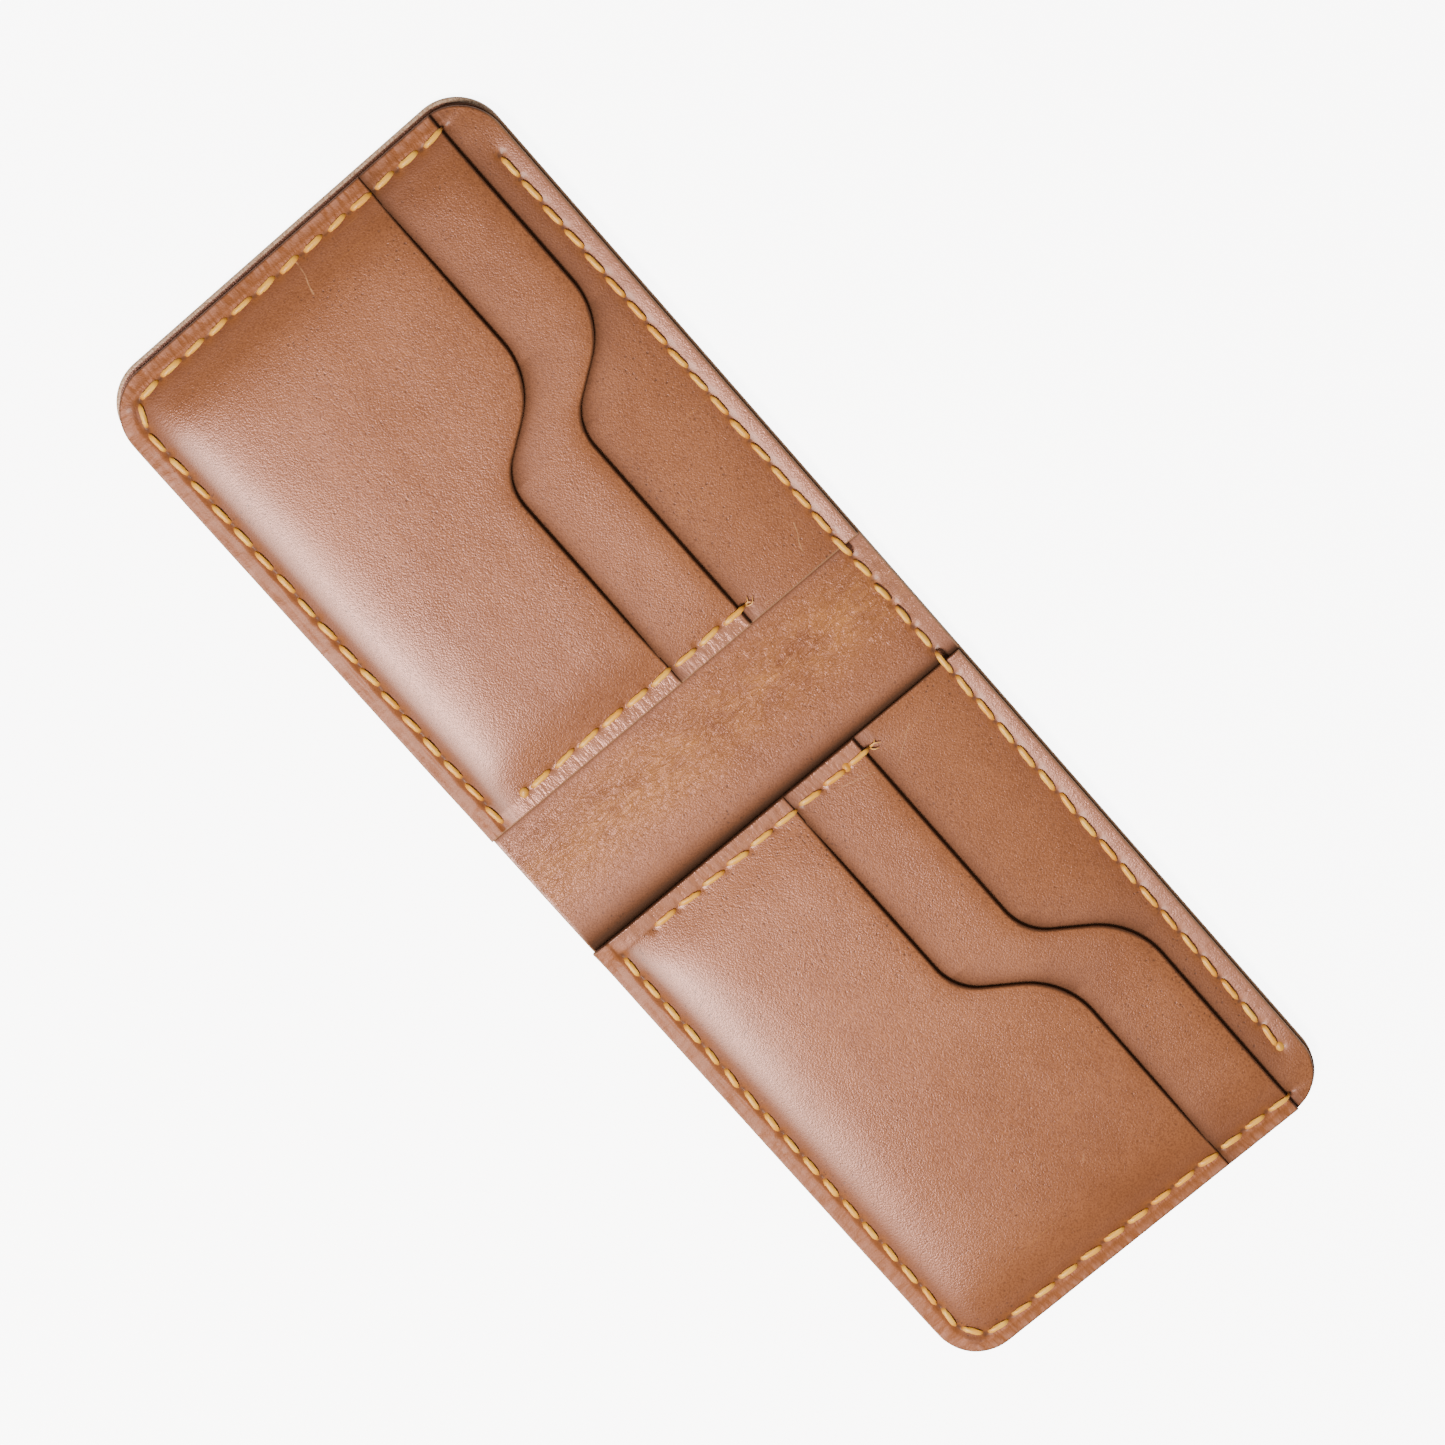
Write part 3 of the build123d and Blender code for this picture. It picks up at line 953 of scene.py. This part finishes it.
def makeScratchGroup():
    # one thin scratch: distance to the segment from A to B, with a wavering edge
    given = {"Vector": None, "A": None, "B": None, "Width": 0.0001}
    n, (place, start, end, width) = newGroup("leatherScratch", given, ["Mask"])
    noise = n.noise(place, 300.0, 4.0)
    moved = n.wavered(place, noise["Color"], (0.0012, 0.0012, 0.0))
    flat = n.vector("MULTIPLY", {0: moved, 1: (1.0, 1.0, 0.0)})
    fromStart = n.vector("SUBTRACT", {0: flat, 1: start})
    along = n.vector("SUBTRACT", {0: end, 1: start})
    top = n.vector("DOT_PRODUCT", {0: fromStart, 1: along}, "Value")
    base = n.vector("DOT_PRODUCT", {0: along, 1: along}, "Value")
    near = n.vector("SCALE", {0: along, "Scale": n.math("DIVIDE", top, base, True)})
    gap = n.vector("DISTANCE", {0: fromStart, 1: near}, "Value")
    mask = n.math("SUBTRACT", 1.0, n.math("DIVIDE", gap, width), True)
    broken = n.ramp(noise["Fac"], (0.42, 0.0), (0.56, 1.0))
    return closeGroup(n, [n.times(mask, broken)])


grainGroup = makeGrainGroup()
scratchGroup = makeScratchGroup()

leatherLooks = {
    "light": (0.395, 0.152, 0.057),
    "middle": (0.300, 0.110, 0.039),
    "deep": (0.135, 0.045, 0.012),
    "burnishedAndShade": (0.095, 0.040, 0.017),
    "shaded": (0.055, 0.026, 0.012),
    "rubbed": (0.285, 0.096, 0.023),
    "cut": (0.420, 0.240, 0.130),
    "worn": (0.500, 0.205, 0.052),
    "paintedSheen": (0.600, 0.290, 0.195),
    "hole": (0.36, 0.125, 0.018),
    "scratch": (0.62, 0.33, 0.15),
    "rawDark": (0.43, 0.27, 0.16),
    "rawPale": (0.68, 0.50, 0.33),
    "grain": 0.00005,
    "roughness": 0.29,
    "bareRoughness": 0.36,  # what is added where the glaze is rubbed off
    "glaze": 0.30,
    "glazeRoughness": 0.21,
    "shine": 0.8,
    "shineTint": (1.0, 0.55, 0.48),
}


def emptyMaterial(name):
    material = bpy.data.materials.new(name)
    material.use_nodes = True
    material.node_tree.nodes.clear()
    n = Nodes(material.node_tree)
    return material, n, n.add("TexCoord").outputs["Object"]


def spineCreases(n, place, tone, colour, height, creased):
    # the bending strip: short fine creases along the fold, worn to a lighter orange where it bends most
    apart = n.add("SeparateXYZ", {"Vector": place}).outputs[0]
    off = n.math("ABSOLUTE", n.math("ADD", apart, 0.0035))
    band = n.math("SUBTRACT", 1.0, n.math("DIVIDE", off, 0.0085), True)
    crease = n.noise(n.mapped(place, Scale=(1.0, 0.30, 1.0)), 1300.0, 5.0, Distortion=1.2)["Fac"]
    line = n.ramp(crease, (0.42, 0.0), (0.60, 1.0))
    some = n.math("ADD", 0.25, n.times(band, 0.75))
    height = n.math("ADD", height, n.times(line, n.times(some, creased)))
    blotch = n.ramp(tone, (0.40, 0.0), (0.56, 1.0))
    rub = n.times(n.times(band, blotch), n.math("ADD", 0.45, n.times(line, 0.55)))
    return n.mix(n.times(rub, 1.1, True), colour, leatherLooks["worn"]), height


def handlingMarks(n, place, cloud, colour, scratches):
    # sparse hairline scratches in two directions, darker handling marks, and a few longer scratches
    looks = leatherLooks
    for turn, where in ((0.7, 6.0), (-0.5, 9.0)):
        aligned = n.mapped(place, Rotation=(0.0, 0.0, turn), Location=(where, where, 0.0),
                           Scale=(1.0, 0.035, 1.0))
        hair = n.ramp(n.noise(aligned, 1300.0, 2.0, Distortion=0.15)["Fac"], (0.70, 0.0), (0.76, 1.0))
        colour = n.mix(n.times(n.times(hair, cloud), 0.45, True), colour, looks["worn"])
    smear = n.noise(place, 70.0, 3.0, Roughness=0.55)["Fac"]
    colour = n.mix(n.ramp(smear, (0.30, 0.20), (0.46, 0.0)), colour, looks["deep"])
    for a, b, width, strength in scratches:
        mark = n.add("Group", node_tree=scratchGroup, inputs={
            "Vector": place, "A": (a[0] / 1000, a[1] / 1000, 0), "B": (b[0] / 1000, b[1] / 1000, 0),
            "Width": width / 1000})
        colour = n.mix(n.times(mark.outputs[0], strength, True), colour, looks["scratch"])
    return colour


def marginWrinkles(n, place, height):
    # short wrinkles across the sewn margins, and where their crests are
    streaks = []
    for mask, scale in (("marginX", (0.25, 1.0, 1.0)), ("marginY", (1.0, 0.25, 1.0))):
        fold = n.noise(n.mapped(place, Scale=scale), 1100.0, 3.0)["Fac"]
        crest = n.ramp(fold, (0.38, 0.0), (0.62, 1.0))
        here = n.attribute(mask)
        height = n.math("ADD", height, n.times(crest, n.times(here, 1.3)))
        streaks.append(n.times(crest, here))
    return height, n.math("MAXIMUM", *streaks)


def cutEdge(n, place, colour, raw):
    # the shell's raw rim is fuzzy and pale; the inner layers' edges are burnished
    looks = leatherLooks
    edge = n.attribute("edge")
    if not raw:
        cut = n.mix(n.attribute("raw"), looks["burnishedAndShade"], looks["cut"])
        return n.mix(n.ramp(edge, (0.62, 0.0), (0.97, 0.9)), colour, cut)
    fuzz = n.ramp(n.noise(place, 2400.0, 3.0)["Fac"], (0.40, 0.0), (0.56, 1.0))
    # darker just inside the pale rim
    colour = n.mix(n.ramp(edge, (0.005, 0.0), (0.03, 0.8)), colour, looks["burnishedAndShade"])
    rim = n.mix(fuzz, looks["rawDark"], looks["rawPale"])
    return n.mix(n.ramp(edge, (0.16, 0.0), (0.34, 1.0)), colour, rim)


def leatherMaterial(name, scratches=(), raw=False, creased=0.0):
    looks = leatherLooks
    material, n, place = emptyMaterial(name)
    grain = n.add("Group", {"Vector": place, "Scale": 3400.0, "Wrinkle": 0.5}, node_tree=grainGroup)
    cloud = n.noise(place, 28.0, 5.0, Roughness=0.6)["Fac"]
    patch = n.noise(place, 240.0, 4.0, Roughness=0.65)["Fac"]
    tone = n.math("ADD", n.times(cloud, 0.6), n.times(patch, 0.4))
    colour = n.mix(n.ramp(tone, (0.36, 0.0), (0.64, 1.0)), looks["middle"], looks["light"])
    speckle = n.noise(place, 3000.0, 3.0)["Fac"]
    colour = n.mix(n.ramp(speckle, (0.36, 0.55), (0.56, 0.0)), colour, looks["deep"])
    seam, hole, shade = n.attribute("seam"), n.attribute("hole"), n.attribute("shade")
    # painted shade beside the seams, where the leather falls to the stitching
    colour = n.mix(n.times(seam, 0.85, True), colour, looks["deep"])
    colour = n.mix(n.times(hole, 0.65, True), colour, looks["hole"])
    # painted shade in each stitch hole
    colour = n.mix(n.ramp(hole, (0.62, 0.0), (0.95, 0.9)), colour, looks["burnishedAndShade"])
    colour = n.mix(n.times(grain.outputs["Pores"], 0.9, True), colour, looks["burnishedAndShade"])
    height = grain.outputs["Height"]
    if creased:
        colour, height = spineCreases(n, place, tone, colour, height, creased)
    colour = handlingMarks(n, place, cloud, colour, scratches)
    height, streak = marginWrinkles(n, place, height)

    # the margins: rubbed orange leather, a painted sheen on the fold-side margin and beyond the top seam,
    # and a painted highlight on the wrinkles' crests towards the rim
    colour = n.mix(n.times(n.attribute("pale"), 0.30, True), colour, looks["paintedSheen"])
    rimward = n.ramp(seam, (0.55, 1.0), (0.74, 0.0))
    margin = n.attribute("ridge")
    colour = n.mix(n.times(margin, 0.85, True), colour, looks["rubbed"])
    # painted highlight on the wrinkles' crests
    crestSheen = n.math("MAXIMUM", n.math("SUBTRACT", 1.0, margin), rimward)
    colour = n.mix(n.times(n.times(streak, crestSheen), 0.50, True), colour, looks["paintedSheen"])
    # painted shadow beside the pockets' mouths and the back panels' free edges
    colour = n.mix(n.times(shade, 0.92, True), colour, looks["shaded"])
    colour = cutEdge(n, place, colour, raw)

    # the glaze is rubbed off along the seams and on the sewn margins, and left off in the painted shadow
    bare = n.math("MAXIMUM", n.ramp(seam, (0.34, 0.0), (0.70, 0.7)), n.times(margin, 0.75))
    bare = n.math("MAXIMUM", bare, n.times(shade, 1.2, True))
    polish = n.math("ADD", looks["roughness"] - 0.06, n.times(cloud, 0.12))
    polish = n.math("ADD", polish, n.times(n.math("ADD", shade, hole), 0.25))
    either = n.math("MAXIMUM", n.attribute("marginX"), n.attribute("marginY"))
    polish = n.math("SUBTRACT", polish, n.times(either, 0.08))
    polish = n.math("ADD", polish, n.times(bare, looks["bareRoughness"]))
    bumped = n.add("Bump", {"Strength": 1.0, "Distance": looks["grain"], "Height": height})
    shader = n.add("BsdfPrincipled", {
        "Base Color": colour,
        "Roughness": polish,
        "Normal": bumped.outputs[0],
        "Coat Weight": n.times(n.math("SUBTRACT", 1.0, bare), looks["glaze"]),
        "Coat Roughness": looks["glazeRoughness"],
        "Specular IOR Level": looks["shine"],
        "Specular Tint": looks["shineTint"],
    })
    n.add("OutputMaterial", {0: shader.outputs[0]})
    return material


threadLooks = {"gold": (0.92, 0.41, 0.022), "pale": (1.0, 0.56, 0.06), "amber": (0.42, 0.14, 0.010),
               "fibre": 0.00006, "roughness": 0.42, "sheen": 0.1, "wax": 0.18, "waxRoughness": 0.3}


def threadMaterial():
    looks = threadLooks
    material, n, place = emptyMaterial("waxedThread")
    fibre = n.noise(place, 2600.0, 4.0)["Fac"]
    cloud = n.noise(place, 190.0, 2.0)["Fac"]
    colour = n.mix(n.ramp(cloud, (0.35, 0.0), (0.65, 1.0)), looks["gold"], looks["pale"])
    colour = n.mix(n.times(n.attribute("amber"), 0.85, True), colour, looks["amber"])
    bumped = n.add("Bump", {"Strength": 0.7, "Distance": looks["fibre"], "Height": fibre})
    shader = n.add("BsdfPrincipled", {
        "Base Color": colour,
        "Normal": bumped.outputs[0],
        "Roughness": looks["roughness"],
        "Sheen Weight": looks["sheen"],
        "Coat Weight": looks["wax"],
        "Coat Roughness": looks["waxRoughness"],
    })
    n.add("OutputMaterial", {0: shader.outputs[0]})
    return material


# each scratch: its two ends, its width in millimetres and its strength
panelScratches = [((-20.0, 33.0), (-13.5, 30.5), 0.16, 0.7), ((-13.0, 24.0), (-12.7, 16.5), 0.14, 0.6),
                  ((17.5, 26.0), (24.0, 15.5), 0.14, 0.5)]
pocketScratches = [((-103.5, 1.0), (-98.0, -0.2), 0.2, 0.8), ((19.6, 16.4), (18.2, 10.6), 0.12, 0.6),
                   ((90.5, 1.5), (92.5, -0.3), 0.3, 0.6)]

shellLeather = leatherMaterial("shellLeather", raw=True)
liningLeather = leatherMaterial("liningLeather", creased=1.6)
panelLeather = leatherMaterial("panelLeather", panelScratches)
pocketLeather = leatherMaterial("pocketLeather", pocketScratches)
waxed = threadMaterial()


def finishPiece(piece, material, nodes):
    piece.data.materials.append(material)
    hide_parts(*nodes)


foldAt = {"right": foldLines[0], "middle": foldLines[1], "left": foldLines[2]}


def across(piece, a, b, line):
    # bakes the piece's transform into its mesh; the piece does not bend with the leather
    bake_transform(piece)


for half in halves:
    side = half["side"]
    body = f"{side}_half"
    for make, material, slotName, node in (
            (makeFrontPocket, pocketLeather, "pocket_leather", "front_pocket"),
            (makeUpperPocket, pocketLeather, "pocket_leather", "upper_pocket"),
            (makeBackPanel, panelLeather, "panel_leather", "back_panel")):
        piece = make(half)
        finishPiece(piece, material, [f"{node}_{side}"])
        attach(piece, body)
    pair = ("right_half", "spine_right") if side == "right" else ("spine_left", "left_half")
    for make, material, slotName, node in (
            (makeShellHalf, shellLeather, "shell_leather", "shell"),
            (makeLiningHalf, liningLeather, "lining_leather", "lining")):
        piece = make(half)
        finishPiece(piece, material, [f"{node}_{side}"])
        across(piece, *pair, foldAt[side])
    seams = makeSeams(half)
    for key, node in (("outer", "outer_seam"), ("inner", "inner_seam"), ("top", "top_seam"),
                      ("floor", "pocket_floor_seam")):
        finishPiece(seams[key], waxed, [f"{node}_{side}"])
        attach(seams[key], body)
    finishPiece(seams["spine"], waxed, [f"top_seam_spine_{side}"])
    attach(seams["spine"], f"spine_{side}")
    print("made the", side, "half")

middleShell = makeMiddle("shell_middle", shell, shellTop, shellHigh[2], False)
finishPiece(middleShell, shellLeather, ["shell_spine_right", "shell_spine_left"])
across(middleShell, "spine_right", "spine_left", foldAt["middle"])
middleLining = makeMiddle("lining_middle", lining, middleLiningTop, leather, True)
finishPiece(middleLining, liningLeather, ["lining_spine_right", "lining_spine_left"])
across(middleLining, "spine_right", "spine_left", foldAt["middle"])
print("made the fold")


def areaLight(name, place, size, power, colour):
    # a rectangular lamp that points at the wallet's middle
    light = bpy.data.lights.new(name, "AREA")
    light.shape = "RECTANGLE"
    light.size, light.size_y = size
    light.energy = power
    light.color = colour
    lamp = bpy.data.objects.new(name, light)
    bpy.context.scene.collection.objects.link(lamp)
    lamp.location = place
    lamp.rotation_euler = (-Vector(place)).to_track_quat("-Z", "Y").to_euler()


tableLooks = {"size": 4.0, "colour": (0.93, 0.93, 0.93, 1), "roughness": 0.9, "shine": 0.1, "glow": 7.5}


def makeTable():
    s = tableLooks["size"]
    mesh = bpy.data.meshes.new("table")
    mesh.from_pydata([(-s, -s, 0), (s, -s, 0), (s, s, 0), (-s, s, 0)], [], [(0, 1, 2, 3)])
    table = bpy.data.objects.new("table", mesh)
    bpy.context.scene.collection.objects.link(table)
    material = bpy.data.materials.new("paleTable")
    material.use_nodes = True
    inputs = material.node_tree.nodes["Principled BSDF"].inputs
    inputs["Base Color"].default_value = tableLooks["colour"]
    inputs["Roughness"].default_value = tableLooks["roughness"]
    inputs["Specular IOR Level"].default_value = tableLooks["shine"]
    inputs["Emission Color"].default_value = (1, 1, 1, 1)
    # glows a little for the lens alone, so that it looks pale without lighting the wallet from below
    n = Nodes(material.node_tree)
    seen = n.add("LightPath").outputs["Is Camera Ray"]
    n.feed(inputs["Emission Strength"], n.times(seen, tableLooks["glow"]))
    mesh.materials.append(material)


makeTable()
world = bpy.data.worlds.new("studio")
bpy.context.scene.world = world
world.use_nodes = True
background = world.node_tree.nodes["Background"]
background.inputs["Color"].default_value = (1.0, 1.0, 1.0, 1)
background.inputs["Strength"].default_value = 0.25
areaLight("softbox", (0.10, -0.48, 0.87), (0.40, 0.23), 14.5, (1.0, 0.87, 0.80))
areaLight("edgeStrip", (0.0, -0.95, 0.32), (1.2, 0.16), 2.4, (1.0, 0.90, 0.84))

# how the camera sees the wallet: its turn as a rotation vector in degrees, and its place in millimetres;
# the focal length is in units of the frame's width
cameraFit = {"turn": (13.08, 5.15, -48.96), "shift": (0.4, -3.0, -730.1),
             "focal": 4467.7 / 1445, "sensor": 36}


def makeCamera():
    turn = Vector([math.radians(value) for value in cameraFit["turn"]])
    rotation = Matrix.Rotation(turn.length, 3, turn.normalized()).transposed()
    shift = Vector(cameraFit["shift"]) / 1000
    data = bpy.data.cameras.new("camera")
    data.lens = cameraFit["focal"] * cameraFit["sensor"]
    data.sensor_width = cameraFit["sensor"]
    data.clip_start, data.clip_end = 0.01, 20
    camera = bpy.data.objects.new("camera", data)
    bpy.context.scene.collection.objects.link(camera)
    camera.matrix_world = Matrix.Translation(-(rotation @ shift)) @ rotation.to_4x4()
    bpy.context.scene.camera = camera


makeCamera()
print("table, light and camera are set")
